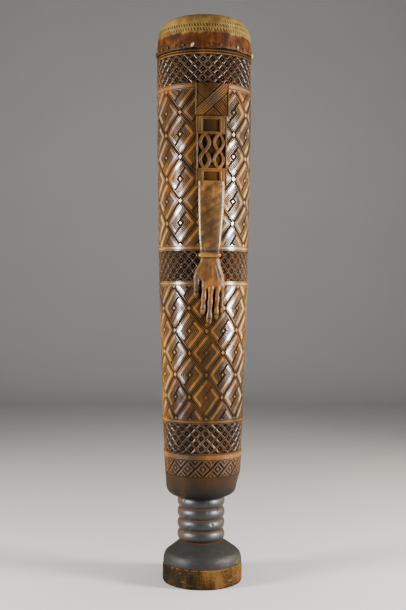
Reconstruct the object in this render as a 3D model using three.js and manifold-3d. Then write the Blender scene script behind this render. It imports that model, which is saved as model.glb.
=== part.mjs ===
// A tall footed drum carved from one block of wood, with a rawhide head held by small wooden pegs.
// Millimetres, +Z up. The origin is the middle of the underside, and the carved arm faces -Y.
import * as THREE from "three";
import { mergeVertices } from "three/addons/utils/BufferGeometryUtils.js";
import Module from "manifold-3d";

const wasm = await Module();
wasm.setup();

// Heights that divide the drum, from the floor up
const footSideTop = 42;
const stemBottom = 88;
const stemTop = 183;
const barrelBottom = 234;
const zigzagTop = 267;
const bandThree = { bottom: 282, top: 344 };
const lowerField = { bottom: 354, top: 631 };
const bandTwo = { bottom: 641, top: 704 };
const upperField = { bottom: 715, top: 1036 };
const bandOne = { bottom: 1048, top: 1108 };
const rimTop = 1117;
const drumHeight = 1200;

// The barrel's outer radius, between these heights in straight lines
const barrelTaper = [
  { z: barrelBottom, radius: 80.5 },
  { z: 293, radius: 83.6 },
  { z: 343, radius: 86.4 },
  { z: 640, radius: 95.2 },
  { z: 930, radius: 100.6 },
  { z: 1110, radius: 101.6 },
];

// Foot and stem
const footRadius = 85;
const footEdgeRounding = 5;
const stemRadius = 46;
const stemRingRadius = 51;
const stemRings = 4;
const stemSides = 26;

// Radius and height of the dome's points, from the foot's side up to the stem
const domeProfile = [
  [84.5, 43],
  [83.4, 52],
  [80.8, 60],
  [76, 66.4],
  [61, 77.2],
  [stemRadius, stemBottom],
];

// The same for the rounded underside of the barrel, from the stem out to the carved wall
const barrelUnderside = [
  [60, 184.5],
  [70, 191],
  [75, 200],
  [77.8, 219],
];

// Sound chamber
const wall = 18;
const chamberFloor = 222;
const floorRounding = 30;
const chamberSides = 20;

// Rim and hide
const hideThickness = 2.5;
const fitGap = 0.3;
const hideRadius = 102.6;
const hideBottom = 1118;
const shoulder = { radius: 64, z: 1160, reach: 35, rise: 38 };
const shoulderTurns = [6, 29, 54, 82];

// Carving
const bandRaise = 1.2;
const bandSlope = 2;
const grooveDepth = 1.8;
const columns = 16;
const columnAngle = 360 / columns;
const columnPhase = 4.4;
const stripShare = 0.84; // a diamond's share inside the lattice strips
const fineColumns = 64;
const coarseColumns = 52;
const bandRecess = 1.5;
const pitDepth = 3;
const frontReach = 80;

// Pegs
const pegSpots = 32;
const pegPhase = -47.6;
const lostPegs = [4, 7, 11];
const pegHeight = 1126;
const pegLength = 5;
const pegRadius = 3.4;

// Arm, with X as the distance round the barrel to the right of the front line
const armMiddle = 16;
const armDepthInWood = 5;

const degree = Math.PI / 180;

function barrelRadius(z) {
  const next = barrelTaper.findIndex((p) => p.z >= z);
  if (next < 0) return barrelTaper.at(-1).radius;
  if (next === 0) return barrelTaper[0].radius;
  const [low, high] = [barrelTaper[next - 1], barrelTaper[next]];
  return THREE.MathUtils.mapLinear(z, low.z, high.z, low.radius, high.radius);
}

// A point on the drum: angle in degrees, 0 at the front and growing to the right.
function onDrum(angle, radius, z) {
  const a = angle * degree;
  return new THREE.Vector3(radius * Math.sin(a), -radius * Math.cos(a), z);
}

// The skin collects triangles, walking from the underside's middle up the outside and down inside.
class Skin {
  constructor() {
    this.corners = [];
  }

  // A flat polygon of { angle, z, rise }, counterclockwise seen from outside
  polygon(points, radiusAt) {
    const at = points.map((p) => onDrum(p.angle, radiusAt(p.z) + p.rise, p.z));
    for (let i = 1; i < at.length - 1; i++) this.corners.push(at[0], at[i], at[i + 1]);
  }

  // Joins two closed rings of { angle, radius, z }, each sorted by angle. A pole is a ring of one point.
  join(lower, upper) {
    const spot = (ring, i) => {
      const p = ring[i % ring.length];
      return onDrum(p.angle, p.radius, p.z);
    };
    const angle = (ring, i) => {
      if (ring.length === 1) return Infinity;
      return ring[i % ring.length].angle + 360 * Math.floor(i / ring.length);
    };
    const ends = [lower, upper].map((ring) => (ring.length === 1 ? 0 : ring.length));
    let i = 0;
    let j = 0;
    while (i < ends[0] || j < ends[1]) {
      const lowerNext = i < ends[0] ? angle(lower, i + 1) : Infinity;
      const upperNext = j < ends[1] ? angle(upper, j + 1) : Infinity;
      if (lowerNext <= upperNext) {
        this.corners.push(spot(lower, i), spot(lower, i + 1), spot(upper, j));
        i++;
      } else {
        this.corners.push(spot(lower, i), spot(upper, j + 1), spot(upper, j));
        j++;
      }
    }
  }

  geometry() {
    return mergeVertices(new THREE.BufferGeometry().setFromPoints(this.corners), 1e-3);
  }
}

function ring(radius, z, sides) {
  return Array.from({ length: sides }, (_, i) => ({
    angle: columnPhase - 180 + (360 * i) / sides,
    radius,
    z,
  }));
}

// The part of a polygon above or below a height
function clip(points, height, keepAbove) {
  const inside = (p) => (keepAbove ? p.z >= height - 1e-6 : p.z <= height + 1e-6);
  const kept = [];
  points.forEach((p, i) => {
    const q = points[(i + 1) % points.length];
    if (inside(p)) kept.push(p);
    if (inside(p) !== inside(q)) {
      const t = (height - p.z) / (q.z - p.z);
      if (t > 1e-6 && t < 1 - 1e-6)
        kept.push({
          angle: THREE.MathUtils.lerp(p.angle, q.angle, t),
          z: height,
          rise: THREE.MathUtils.lerp(p.rise, q.rise, t),
        });
    }
  });
  return kept;
}

// The points of a diamond's outline, a share of its full size, with or without one in each side
function diamondRing(centre, step, share, rise, withMiddles) {
  const tips = [
    [1, 0],
    [0, 1],
    [-1, 0],
    [0, -1],
  ];
  const turns = withMiddles
    ? tips.flatMap((t, i) => {
        const n = tips[(i + 1) % tips.length];
        return [t, [(t[0] + n[0]) / 2, (t[1] + n[1]) / 2]];
      })
    : tips;
  return turns.map(([right, up]) => ({
    angle: centre.angle + right * share * step.angle,
    z: centre.z + up * share * step.z,
    rise,
  }));
}

// The polygons between an outer and an inner outline of 8 or 4 points each
function betweenRings(outer, inner) {
  if (outer.length === inner.length)
    return outer.map((p, i) => {
      const n = (i + 1) % outer.length;
      return [p, outer[n], inner[n], inner[i]];
    });
  return inner.flatMap((p, i) => {
    const n = (i + 1) % inner.length;
    const [start, middle, end] = [outer[2 * i], outer[2 * i + 1], outer[(2 * i + 2) % outer.length]];
    return [
      [start, middle, p],
      [middle, inner[n], p],
      [middle, end, inner[n]],
    ];
  });
}

// A carved field of diamonds in a checkerboard. stepsFor gives each diamond's outlines from its edge
// inwards, and peakFor the rise of its middle, or null for a flat one. Returns the field's two edges.
function carveField(skin, field, radiusAt) {
  const { bottom, top, rows, columns: count, phase, firstIsDiamond, stepsFor, peakFor, strips } = field;
  const step = { angle: 360 / count, z: (top - bottom) / rows };
  const edges = { bottom: new Map(), top: new Map() };
  const note = (edge, height, p) => {
    if (Math.abs(p.z - height) > 1e-6) return;
    const angle = ((p.angle - columnPhase + 180 + 1e-7 + 720) % 360) - 180 + columnPhase - 1e-7;
    edge.set(angle.toFixed(4), { angle, radius: radiusAt(height) + p.rise, z: height });
  };
  const lay = (points) => {
    const kept = clip(clip(points, bottom, true), top, false);
    const height = kept.length ? Math.max(...kept.map((p) => p.z)) - Math.min(...kept.map((p) => p.z)) : 0;
    if (kept.length < 3 || height < 1e-6) return;
    skin.polygon(kept, radiusAt);
    for (const p of kept) {
      note(edges.bottom, bottom, p);
      note(edges.top, top, p);
    }
  };
  const lap = 1 - stripShare;
  for (let row = -1; row <= rows + 1; row++)
    for (let column = 0; column < count; column++) {
      const centre = { angle: phase + column * step.angle, z: bottom + row * step.z };
      const isDiamond = Math.abs(row + column + (firstIsDiamond ? 0 : 1)) % 2 === 0;
      const at = (right, up, rise = 0) => ({
        angle: centre.angle + right * step.angle,
        z: centre.z + up * step.z,
        rise,
      });
      if (!isDiamond) {
        if (strips) lay([at(lap, 0), at(0, lap), at(-lap, 0), at(0, -lap)]);
        continue;
      }
      const outlines = stepsFor(centre.angle).map((s) => diamondRing(centre, step, s.share, s.rise, s.middles));
      outlines.slice(1).forEach((inner, i) => betweenRings(outlines[i], inner).forEach(lay));
      const last = outlines.at(-1);
      const peak = peakFor(centre.angle);
      if (peak === null) lay(last);
      else last.forEach((p, i) => lay([p, last[(i + 1) % last.length], at(0, 0, peak)]));
      if (!strips) continue;
      const half = stripShare / 2;
      for (const side of [1, -1]) {
        const near = [at(side * stripShare, 0), at(side * half, half), at(0, stripShare)];
        const far = [at(side, lap), at(side * (1 - half), 1 - half), at(side * lap, 1)];
        for (const i of [0, 1]) {
          const quad = [near[i], far[i], far[i + 1], near[i + 1]];
          lay(side > 0 ? quad : quad.reverse());
        }
      }
    }
  const sorted = (edge) => [...edge.values()].sort((a, b) => a.angle - b.angle);
  return { bottom: sorted(edges.bottom), top: sorted(edges.top) };
}

const isInFront = (angle) => Math.cos(angle * degree) > Math.cos(frontReach * degree);

// The big interlace's diamonds: a groove, the plain strip, a groove and a low middle. The back is plainer.
function interlaceSteps(angle) {
  const edge = { share: stripShare, rise: 0, middles: true };
  if (!isInFront(angle)) return [edge, { share: 0.78, rise: -grooveDepth, middles: false }];
  return [
    edge,
    { share: 0.8, rise: -grooveDepth, middles: false },
    { share: 0.77, rise: 0.6, middles: false },
    { share: 0.61, rise: 0.4, middles: false },
    { share: 0.57, rise: -grooveDepth, middles: false },
  ];
}

const interlacePeak = (angle) => (isInFront(angle) ? 0 : null);

function interlace(skin, heights, rows, phase, firstIsDiamond) {
  const field = { ...heights, rows, columns, phase, firstIsDiamond, strips: true };
  return carveField(skin, { ...field, stepsFor: interlaceSteps, peakFor: interlacePeak }, barrelRadius);
}

// A narrow band of diamond pits with sharp ribs between them, from a seam at the side round the front to
// another. The back stays smooth, in a few tall faces. Returns the band's two edges.
function pittedBand(skin, { bottom, top }, rows, count) {
  const step = { angle: 360 / count, z: (top - bottom) / rows };
  const radiusAt = (z) => barrelRadius(z) - bandRecess;
  const reach = Math.floor(frontReach / step.angle);
  const isPit = (row, column) => Math.abs(row + column) % 2 === 0 && Math.abs(column) <= reach;
  const at = (row, column, rise = 0) => ({
    angle: columnPhase + column * step.angle,
    z: bottom + row * step.z,
    rise,
  });
  const edge = (row) => {
    const points = [];
    for (let column = -reach - 1; column <= reach + 1; column++)
      if (isPit(row, column)) points.push(at(row, column, -pitDepth));
      else if (isPit(row, column - 1) || isPit(row, column + 1)) points.push(at(row, column));
    return points;
  };
  for (let row = 0; row <= rows; row++)
    for (let column = -reach; column <= reach; column++) {
      if (!isPit(row, column)) continue;
      const middle = at(row, column, -pitDepth);
      const [right, left] = [at(row, column + 1), at(row, column - 1)];
      const [above, below] = [at(row + 1, column), at(row - 1, column)];
      if (row < rows) {
        skin.polygon([right, above, middle], radiusAt);
        skin.polygon([above, left, middle], radiusAt);
      }
      if (row > 0) {
        skin.polygon([left, below, middle], radiusAt);
        skin.polygon([below, right, middle], radiusAt);
      }
    }
  const facet = 360 / (2 * columns);
  const firstBack = Math.ceil(frontReach / facet) + 1;
  const backs = [];
  for (let i = firstBack; i * facet <= 360 - firstBack * facet; i++) backs.push(columnPhase + i * facet);
  const upright = (angle) => [bottom, top].map((z) => ({ angle, z, rise: 0 }));
  for (let i = 0; i + 1 < backs.length; i++) {
    const [[low, high], [nextLow, nextHigh]] = [upright(backs[i]), upright(backs[i + 1])];
    skin.polygon([low, nextLow, nextHigh, high], radiusAt);
  }
  for (const side of [1, -1]) {
    const [low, high] = upright(side > 0 ? backs[0] : backs.at(-1));
    const seam = (row) => at(row, side * (isPit(row, reach) ? reach + 1 : reach));
    const face = (...points) => skin.polygon(side > 0 ? points : points.reverse(), radiusAt);
    for (let row = 0; row < rows; row++) face(seam(row), row < rows / 2 ? low : high, seam(row + 1));
    face(seam(Math.ceil(rows / 2)), low, high);
  }
  const whole = (row, z) => {
    const turned = backs.map((angle) => ({ angle: angle < columnPhase + 180 ? angle : angle - 360, z, rise: 0 }));
    const all = [...edge(row), ...turned].sort((a, b) => a.angle - b.angle);
    return all.map((p) => ({ angle: p.angle, radius: radiusAt(z) + p.rise, z }));
  };
  return { bottom: whole(0, bottom), top: whole(rows, top) };
}

function barrelRing(z, rise) {
  return ring(barrelRadius(z) + rise, z, 2 * columns);
}

// Joins a carved field to what is below it and gives the ring above it.
function raisedBand(skin, below, bottom, top) {
  const low = barrelRing(bottom, bandRaise);
  skin.join(below, low);
  const high = barrelRing(top, bandRaise);
  skin.join(low, high);
  return high;
}

function footAndStemProfile() {
  const points = [];
  const edge = footEdgeRounding;
  const corner = edge * (1 - Math.SQRT1_2);
  points.push([footRadius - edge, 0], [footRadius - corner, corner], [footRadius, edge]);
  points.push([footRadius, footSideTop - corner]);
  points.push(...domeProfile);
  const ringHeight = (stemTop - stemBottom) / stemRings;
  for (let n = 0; n < stemRings; n++) {
    const low = stemBottom + n * ringHeight;
    for (const [share, out] of [
      [0.2, 0.8],
      [0.5, 1],
      [0.8, 0.8],
      [1, 0],
    ])
      points.push([THREE.MathUtils.lerp(stemRadius, stemRingRadius, out), low + share * ringHeight]);
  }
  return points;
}

function drumWood() {
  const skin = new Skin();
  let last = [{ angle: 0, radius: 0, z: 0 }];
  const rise = (next) => {
    skin.join(last, next);
    last = next;
  };
  const carve = (edges) => {
    skin.join(last, edges.bottom);
    last = edges.top;
  };
  for (const [radius, z] of footAndStemProfile()) rise(ring(radius, z, stemSides));
  for (const [radius, z] of barrelUnderside) rise(ring(radius, z, stemSides));
  rise(barrelRing(barrelBottom, 0));
  rise(barrelRing(zigzagTop, 0));
  rise(barrelRing(zigzagTop + bandSlope, bandRaise));
  rise(barrelRing(bandThree.bottom, bandRaise));
  carve(pittedBand(skin, bandThree, 6, coarseColumns));
  last = raisedBand(skin, last, bandThree.top, lowerField.bottom);
  carve(interlace(skin, lowerField, 6, columnPhase, false));
  last = raisedBand(skin, last, lowerField.top, bandTwo.bottom);
  carve(pittedBand(skin, bandTwo, 6, fineColumns));
  last = raisedBand(skin, last, bandTwo.top, upperField.bottom);
  carve(interlace(skin, upperField, 7, columnPhase + columnAngle / 2, false));
  last = raisedBand(skin, last, upperField.top, bandOne.bottom);
  carve(pittedBand(skin, bandOne, 6, fineColumns));

  const facetShare = Math.cos(Math.PI / pegSpots);
  const underHide = (hideRadius - hideThickness) * facetShare - fitGap;
  const innerRadius = underHide - wall;
  rise(barrelRing(bandOne.top, 0));
  rise(barrelRing(rimTop, 0));
  rise(ring(underHide, rimTop, stemSides));
  const edge = shoulderArc(hideThickness, facetShare, fitGap).filter(([radius]) => radius > innerRadius);
  for (const [radius, z] of edge) rise(ring(radius, z, stemSides));
  rise(ring(innerRadius, edge.at(-1)[1], chamberSides));
  const lowInner = barrelRadius(barrelBottom) - wall;
  for (const turn of [0, 50, 90]) {
    const [inwards, down] = [1 - Math.cos(turn * degree), 1 - Math.sin(turn * degree)];
    rise(ring(lowInner - floorRounding * inwards, chamberFloor + floorRounding * down, chamberSides));
  }
  rise([{ angle: 0, radius: 0, z: chamberFloor }]);
  return skin.geometry();
}

// Radius and height of the points round the top's shoulder, from the wall inwards, the given distance
// inside the hide's outer face. What lies under the hide is also scaled to its flat facets, less a gap.
function shoulderArc(inset, share = 1, gap = 0) {
  return shoulderTurns.map((turn) => [
    (shoulder.radius + (shoulder.reach - inset) * Math.cos(turn * degree)) * share - gap,
    shoulder.z + (shoulder.rise - inset - gap) * Math.sin(turn * degree),
  ]);
}

// A closed solid through sections round the arm's middle. Each section holds points { x, height } over
// the barrel's surface, the first and last of them sunk in the wood.
function loft(sections) {
  const corners = [];
  const at = (s, i) => {
    const p = s.points[i % s.points.length];
    const radius = barrelRadius(s.z) + p.height;
    return onDrum((armMiddle + p.x) / barrelRadius(s.z) / degree, radius, s.z);
  };
  const count = sections[0].points.length;
  for (let k = 0; k + 1 < sections.length; k++)
    for (let i = 0; i < count; i++) {
      const [high, low] = [sections[k], sections[k + 1]];
      corners.push(at(low, i), at(low, i + 1), at(high, i + 1));
      corners.push(at(low, i), at(high, i + 1), at(high, i));
    }
  const [first, final] = [sections[0], sections.at(-1)];
  for (let i = 1; i + 1 < count; i++) {
    corners.push(at(first, 0), at(first, i), at(first, i + 1));
    corners.push(at(final, 0), at(final, i + 1), at(final, i));
  }
  return mergeVertices(new THREE.BufferGeometry().setFromPoints(corners), 1e-3);
}

// A section with a round back, between left and right
function roundSection(z, left, right, height) {
  const middle = (left + right) / 2;
  const half = (right - left) / 2;
  const arc = [-1, -0.8, -0.35, 0.35, 0.8, 1].map((t) => ({
    x: middle + half * t,
    height: height * Math.sqrt(Math.max(0, 1 - t * t)) ** 0.8,
  }));
  const sunk = { height: -armDepthInWood };
  return { z, points: [{ x: left, ...sunk }, ...arc, { x: right, ...sunk }] };
}

// A section with a flat face
function flatSection(z, left, right, height) {
  const shares = [0, 0, 0.25, 0.5, 0.75, 1, 1];
  const points = shares.map((t, i) => ({
    x: THREE.MathUtils.lerp(left, right, t),
    height: i === 0 || i === shares.length - 1 ? -armDepthInWood : height,
  }));
  return { z, points };
}

function slab(top, bottom, left, right, height) {
  return loft([flatSection(top, left, right, height), flatSection(bottom, left, right, height)]);
}

// The arm's own sizes, with heights from the floor and x from the arm's middle line
const cuffPanel = { top: 1047, bottom: 981, left: -33, right: 34, height: 8 };
const sleevePanel = { top: 979, bottom: 836, left: -31, right: 30, height: 7 };
const sleeveCells = [
  { top: 974, bottom: 947, left: -18, right: 17 },
  { top: 941, bottom: 872, left: -24, right: 23 },
  { top: 866, bottom: 846, left: -18, right: 18 },
];
const cellDepth = 4;
const strandWidth = 6.5;
const strandSwing = 8.5;
const strandMiddles = [-12.5, 11.5];

function forearm() {
  return loft([
    roundSection(837, -26, 24, 14),
    roundSection(790, -25, 23, 16),
    roundSection(735, -22, 19, 15),
    roundSection(694, -20, 16, 12),
  ]);
}

function bracelet() {
  return loft([roundSection(697, -24.5, 19.5, 12), roundSection(693, -25, 20, 15), roundSection(688, -24, 19.5, 12)]);
}

function hand() {
  return loft([
    roundSection(690, -19, 16, 11),
    roundSection(676, -20, 17, 10.5),
    roundSection(655, -29, 24, 11.5),
    roundSection(640, -27, 26, 12),
    roundSection(624, -24, 25.5, 11),
  ]);
}

// Fingers from thumb to little finger, each with its root, knuckle and tip
const fingers = [
  { left: -36, right: -24, rootShift: 7, root: 655, tip: 607, height: 9 },
  { left: -23, right: -11, rootShift: 1, root: 634, tip: 571, height: 12 },
  { left: -10.4, right: 1.6, rootShift: 0, root: 634, tip: 552, height: 13 },
  { left: 2.2, right: 13.6, rootShift: 0, root: 632, tip: 560, height: 12 },
  { left: 14.2, right: 24.4, rootShift: -1, root: 630, tip: 575, height: 10.5 },
];

function finger({ left, right, rootShift, root, tip, height }) {
  const length = root - tip;
  const at = (share, squeeze, tall) => {
    const shift = rootShift * (1 - share);
    return roundSection(root - share * length, left + shift + squeeze, right + shift - squeeze, height * tall);
  };
  return loft([at(0, 0, 0.9), at(0.3, 0.6, 1), at(0.62, 0.2, 0.95), at(0.9, 0.7, 0.8), at(1, 3.4, 0.35)]);
}

// One strand of the twisted pair in the sleeve's middle cell
function strand(middle, side) {
  const { top, bottom } = sleeveCells[1];
  const steps = 8;
  const sections = Array.from({ length: steps + 1 }, (_, i) => {
    const share = i / steps;
    const centre = middle + side * strandSwing * Math.sin(share * 2 * Math.PI);
    const [left, right] = [centre - strandWidth / 2, centre + strandWidth / 2];
    const height = sleevePanel.height - 1;
    const points = [
      { x: left, height: 0 },
      { x: centre, height },
      { x: right, height: 0 },
    ];
    return { z: THREE.MathUtils.lerp(top, bottom, share), points };
  });
  return loft(sections);
}

function toSolid(geometry) {
  return new wasm.Manifold(
    new wasm.Mesh({
      numProp: 3,
      vertProperties: new Float32Array(geometry.attributes.position.array),
      triVerts: new Uint32Array(geometry.index.array),
    }),
  );
}

function toGeometry(solid) {
  const mesh = solid.getMesh();
  return new THREE.BufferGeometry()
    .setAttribute("position", new THREE.BufferAttribute(new Float32Array(mesh.vertProperties), 3))
    .setIndex(new THREE.BufferAttribute(new Uint32Array(mesh.triVerts), 1));
}

function sleeve() {
  const { top, bottom, left, right, height } = sleevePanel;
  let solid = toSolid(slab(top, bottom, left, right, height));
  for (const cell of sleeveCells) {
    const sections = [cell.top, cell.bottom].map((z) => {
      const shares = [0, 0, 0.5, 1, 1, 0.5];
      const heights = [height - cellDepth, height + 5, height + 5, height + 5, height - cellDepth, height - cellDepth];
      const points = shares.map((t, i) => ({
        x: THREE.MathUtils.lerp(cell.left, cell.right, t),
        height: heights[i],
      }));
      return { z, points };
    });
    solid = solid.subtract(toSolid(loft(sections)));
  }
  for (const middle of strandMiddles)
    for (const side of [1, -1]) solid = solid.add(toSolid(strand(middle, side)));
  return solid;
}

function cuff() {
  const { top, bottom, left, right, height } = cuffPanel;
  return toSolid(slab(top, bottom, left, right, height));
}

function drumBody() {
  let solid = toSolid(drumWood());
  const limbs = [forearm(), bracelet(), hand(), ...fingers.map(finger)];
  for (const limb of limbs) solid = solid.add(toSolid(limb));
  return toGeometry(solid.add(cuff()).add(sleeve()));
}

// The hide: a thin rigid cup over the rim, as a closed profile turned round the axis
function hideHead() {
  const cup = (radius, inset, top) => [[radius, hideBottom], ...shoulderArc(inset), [0, top]];
  const outside = cup(hideRadius, 0, drumHeight);
  const inside = cup(hideRadius - hideThickness, hideThickness, drumHeight - hideThickness);
  const profile = [...inside.reverse(), ...outside];
  const points = profile.map(([x, y]) => new THREE.Vector2(Math.max(x, 0), y));
  const lathe = new THREE.LatheGeometry(points, pegSpots);
  lathe.deleteAttribute("normal");
  lathe.deleteAttribute("uv");
  return mergeVertices(lathe, 1e-3);
}

function named(name, geometry, material) {
  const mesh = new THREE.Mesh(geometry, material);
  mesh.name = name;
  return mesh;
}

const wood = new THREE.MeshStandardMaterial({ color: 0x5a3a1e, roughness: 0.35, flatShading: true });
const rawhide = new THREE.MeshStandardMaterial({ color: 0xa9824f, roughness: 0.7, flatShading: true });
const pegWood = new THREE.MeshStandardMaterial({ color: 0xb08a5c, roughness: 0.6, flatShading: true });

const drum = new THREE.Group();
drum.add(named("drum_body", drumBody(), wood));

const hide = named("hide_head", hideHead(), rawhide);
hide.rotation.x = Math.PI / 2;
const turnedHide = new THREE.Group();
turnedHide.rotation.z = (pegPhase + 180 / pegSpots) * degree;
turnedHide.add(hide);
drum.add(turnedHide);

const [sideTopRadius, sideTop] = shoulderArc(0)[0];
const hideAtPegs = THREE.MathUtils.mapLinear(pegHeight, hideBottom, sideTop, hideRadius, sideTopRadius);
const facetRadius = hideAtPegs * Math.cos(Math.PI / pegSpots);
for (let spot = 0; spot < pegSpots; spot++) {
  if (lostPegs.includes(spot)) continue;
  const angle = pegPhase + (360 * spot) / pegSpots;
  const peg = new THREE.CylinderGeometry(pegRadius * 0.7, pegRadius, pegLength, 5);
  const name = "hide_peg_" + String(spot + 1).padStart(2, "0");
  const mesh = named(name, peg, pegWood);
  mesh.position.copy(onDrum(angle, facetRadius + fitGap + pegLength / 2, pegHeight));
  mesh.quaternion.setFromUnitVectors(new THREE.Vector3(0, 1, 0), onDrum(angle, 1, 0));
  drum.add(mesh);
}

export default drum;
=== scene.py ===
import math

import bpy
import numpy as np
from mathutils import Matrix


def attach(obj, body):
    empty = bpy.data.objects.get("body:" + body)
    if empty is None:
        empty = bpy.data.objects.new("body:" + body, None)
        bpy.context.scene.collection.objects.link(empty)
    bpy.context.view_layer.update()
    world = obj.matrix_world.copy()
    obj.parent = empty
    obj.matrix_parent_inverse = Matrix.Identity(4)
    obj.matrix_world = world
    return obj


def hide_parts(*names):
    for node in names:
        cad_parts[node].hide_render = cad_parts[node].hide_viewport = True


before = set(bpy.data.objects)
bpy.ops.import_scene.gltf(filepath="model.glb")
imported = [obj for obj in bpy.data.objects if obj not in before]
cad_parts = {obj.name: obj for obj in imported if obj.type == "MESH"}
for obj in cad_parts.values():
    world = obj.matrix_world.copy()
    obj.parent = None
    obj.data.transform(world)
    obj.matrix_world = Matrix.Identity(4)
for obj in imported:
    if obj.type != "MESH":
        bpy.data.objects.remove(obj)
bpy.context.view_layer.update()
mm = 0.001


# Small helpers for every piece

def deselectAll():
    if bpy.context.object and bpy.context.object.mode != "OBJECT":
        bpy.ops.object.mode_set(mode="OBJECT")
    bpy.ops.object.select_all(action="DESELECT")


def makeActive(piece):
    deselectAll()
    piece.select_set(True)
    bpy.context.view_layer.objects.active = piece


def editAll():
    bpy.ops.object.mode_set(mode="EDIT")
    bpy.ops.mesh.select_all(action="SELECT")


# Leaves edit mode with every face turned outwards
def endEdit():
    bpy.ops.mesh.select_all(action="SELECT")
    bpy.ops.mesh.normals_make_consistent(inside=False)
    bpy.ops.object.mode_set(mode="OBJECT")


def modify(piece, kind, **settings):
    made = piece.modifiers.new(kind, kind)
    for key, value in settings.items():
        setattr(made, key, value)
    bpy.ops.object.modifier_apply(modifier=kind)


def smoothstep(low, high, value):
    t = np.clip((value - low) / (high - low), 0, 1)
    return t * t * (3 - 2 * t)


# 1 at nought, falling away on both sides over about the width
def bell(value, width):
    return np.exp(-(value / width) ** 2)


def meshPiece(name, points, faces):
    mesh = bpy.data.meshes.new(name)
    mesh.from_pydata(points, [], faces)
    mesh.validate()
    piece = bpy.data.objects.new(name, mesh)
    bpy.context.scene.collection.objects.link(piece)
    return piece


def finishPiece(piece, nodes, material, sharpAngle):
    makeActive(piece)
    bpy.ops.object.transform_apply(location=True, rotation=True, scale=True)
    bpy.ops.object.shade_smooth_by_angle(angle=math.radians(sharpAngle))
    piece.data.materials.clear()
    piece.data.materials.append(material)
    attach(piece, "root")
    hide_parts(*nodes)
    print("finished", piece.name, len(piece.data.polygons), "faces")


def pointsOf(piece):
    flat = np.empty(3 * len(piece.data.vertices))
    piece.data.vertices.foreach_get("co", flat)
    return flat.reshape(-1, 3)


def setPoints(piece, points):
    piece.data.vertices.foreach_set("co", np.asarray(points).ravel())
    piece.data.update()


# A named number at each point, or one for all of them, which the materials read
def paint(piece, **numbers):
    for name, values in numbers.items():
        spread = np.broadcast_to(np.asarray(values, dtype=np.float32), len(piece.data.vertices))
        numbersOf = piece.data.attributes.new(name, "FLOAT", "POINT")
        numbersOf.data.foreach_set("value", np.ascontiguousarray(spread))


# Waves of several sizes added up: a smooth, repeatable unevenness between about -1 and 1
def unevenness(points, size, seed=0):
    draw = np.random.default_rng(seed)
    total = np.zeros(len(points))
    for _ in range(9):
        direction = draw.normal(size=3)
        direction *= 2 * math.pi / (size * draw.uniform(0.6, 1.7) * np.linalg.norm(direction))
        total += np.sin(points @ direction + draw.uniform(0, 2 * math.pi))
    return total / 4.5


# The drum's own sizes, in millimetres

heights = {
    "footSideTop": 42,
    "stemBottom": 88,
    "stemTop": 183,
    "zigzag": (234.4, 267),
    "bandThree": (282, 344),
    "lowerField": (354, 631),
    "bandTwo": (641, 704),
    "upperField": (715, 1036),
    "bandOne": (1048, 1108),
}
barrelTaper = ((234, 80.5), (293, 83.6), (343, 86.4), (640, 95.2), (930, 100.6), (1110, 101.6))
columnPhase = 4.4  # degrees, where the carving's first column stands


def barrelRadius(z):
    return np.interp(z, [p[0] for p in barrelTaper], [p[1] for p in barrelTaper])


# Degrees round from the front, radius and height, all in millimetres, as points in metres
def onDrum(angle, radius, z):
    turn = np.radians(angle)
    return np.stack([radius * np.sin(turn), -radius * np.cos(turn), z * np.ones_like(turn)], -1) * mm


# Shader graphs

class Wire:
    def __init__(self, graph, socket):
        self.graph = graph
        self.socket = socket

    def __add__(self, other): return self.graph.maths("ADD", self, other)
    def __radd__(self, other): return self.graph.maths("ADD", other, self)
    def __sub__(self, other): return self.graph.maths("SUBTRACT", self, other)
    def __rsub__(self, other): return self.graph.maths("SUBTRACT", other, self)
    def __mul__(self, other): return self.graph.maths("MULTIPLY", self, other)
    def __rmul__(self, other): return self.graph.maths("MULTIPLY", other, self)


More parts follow.
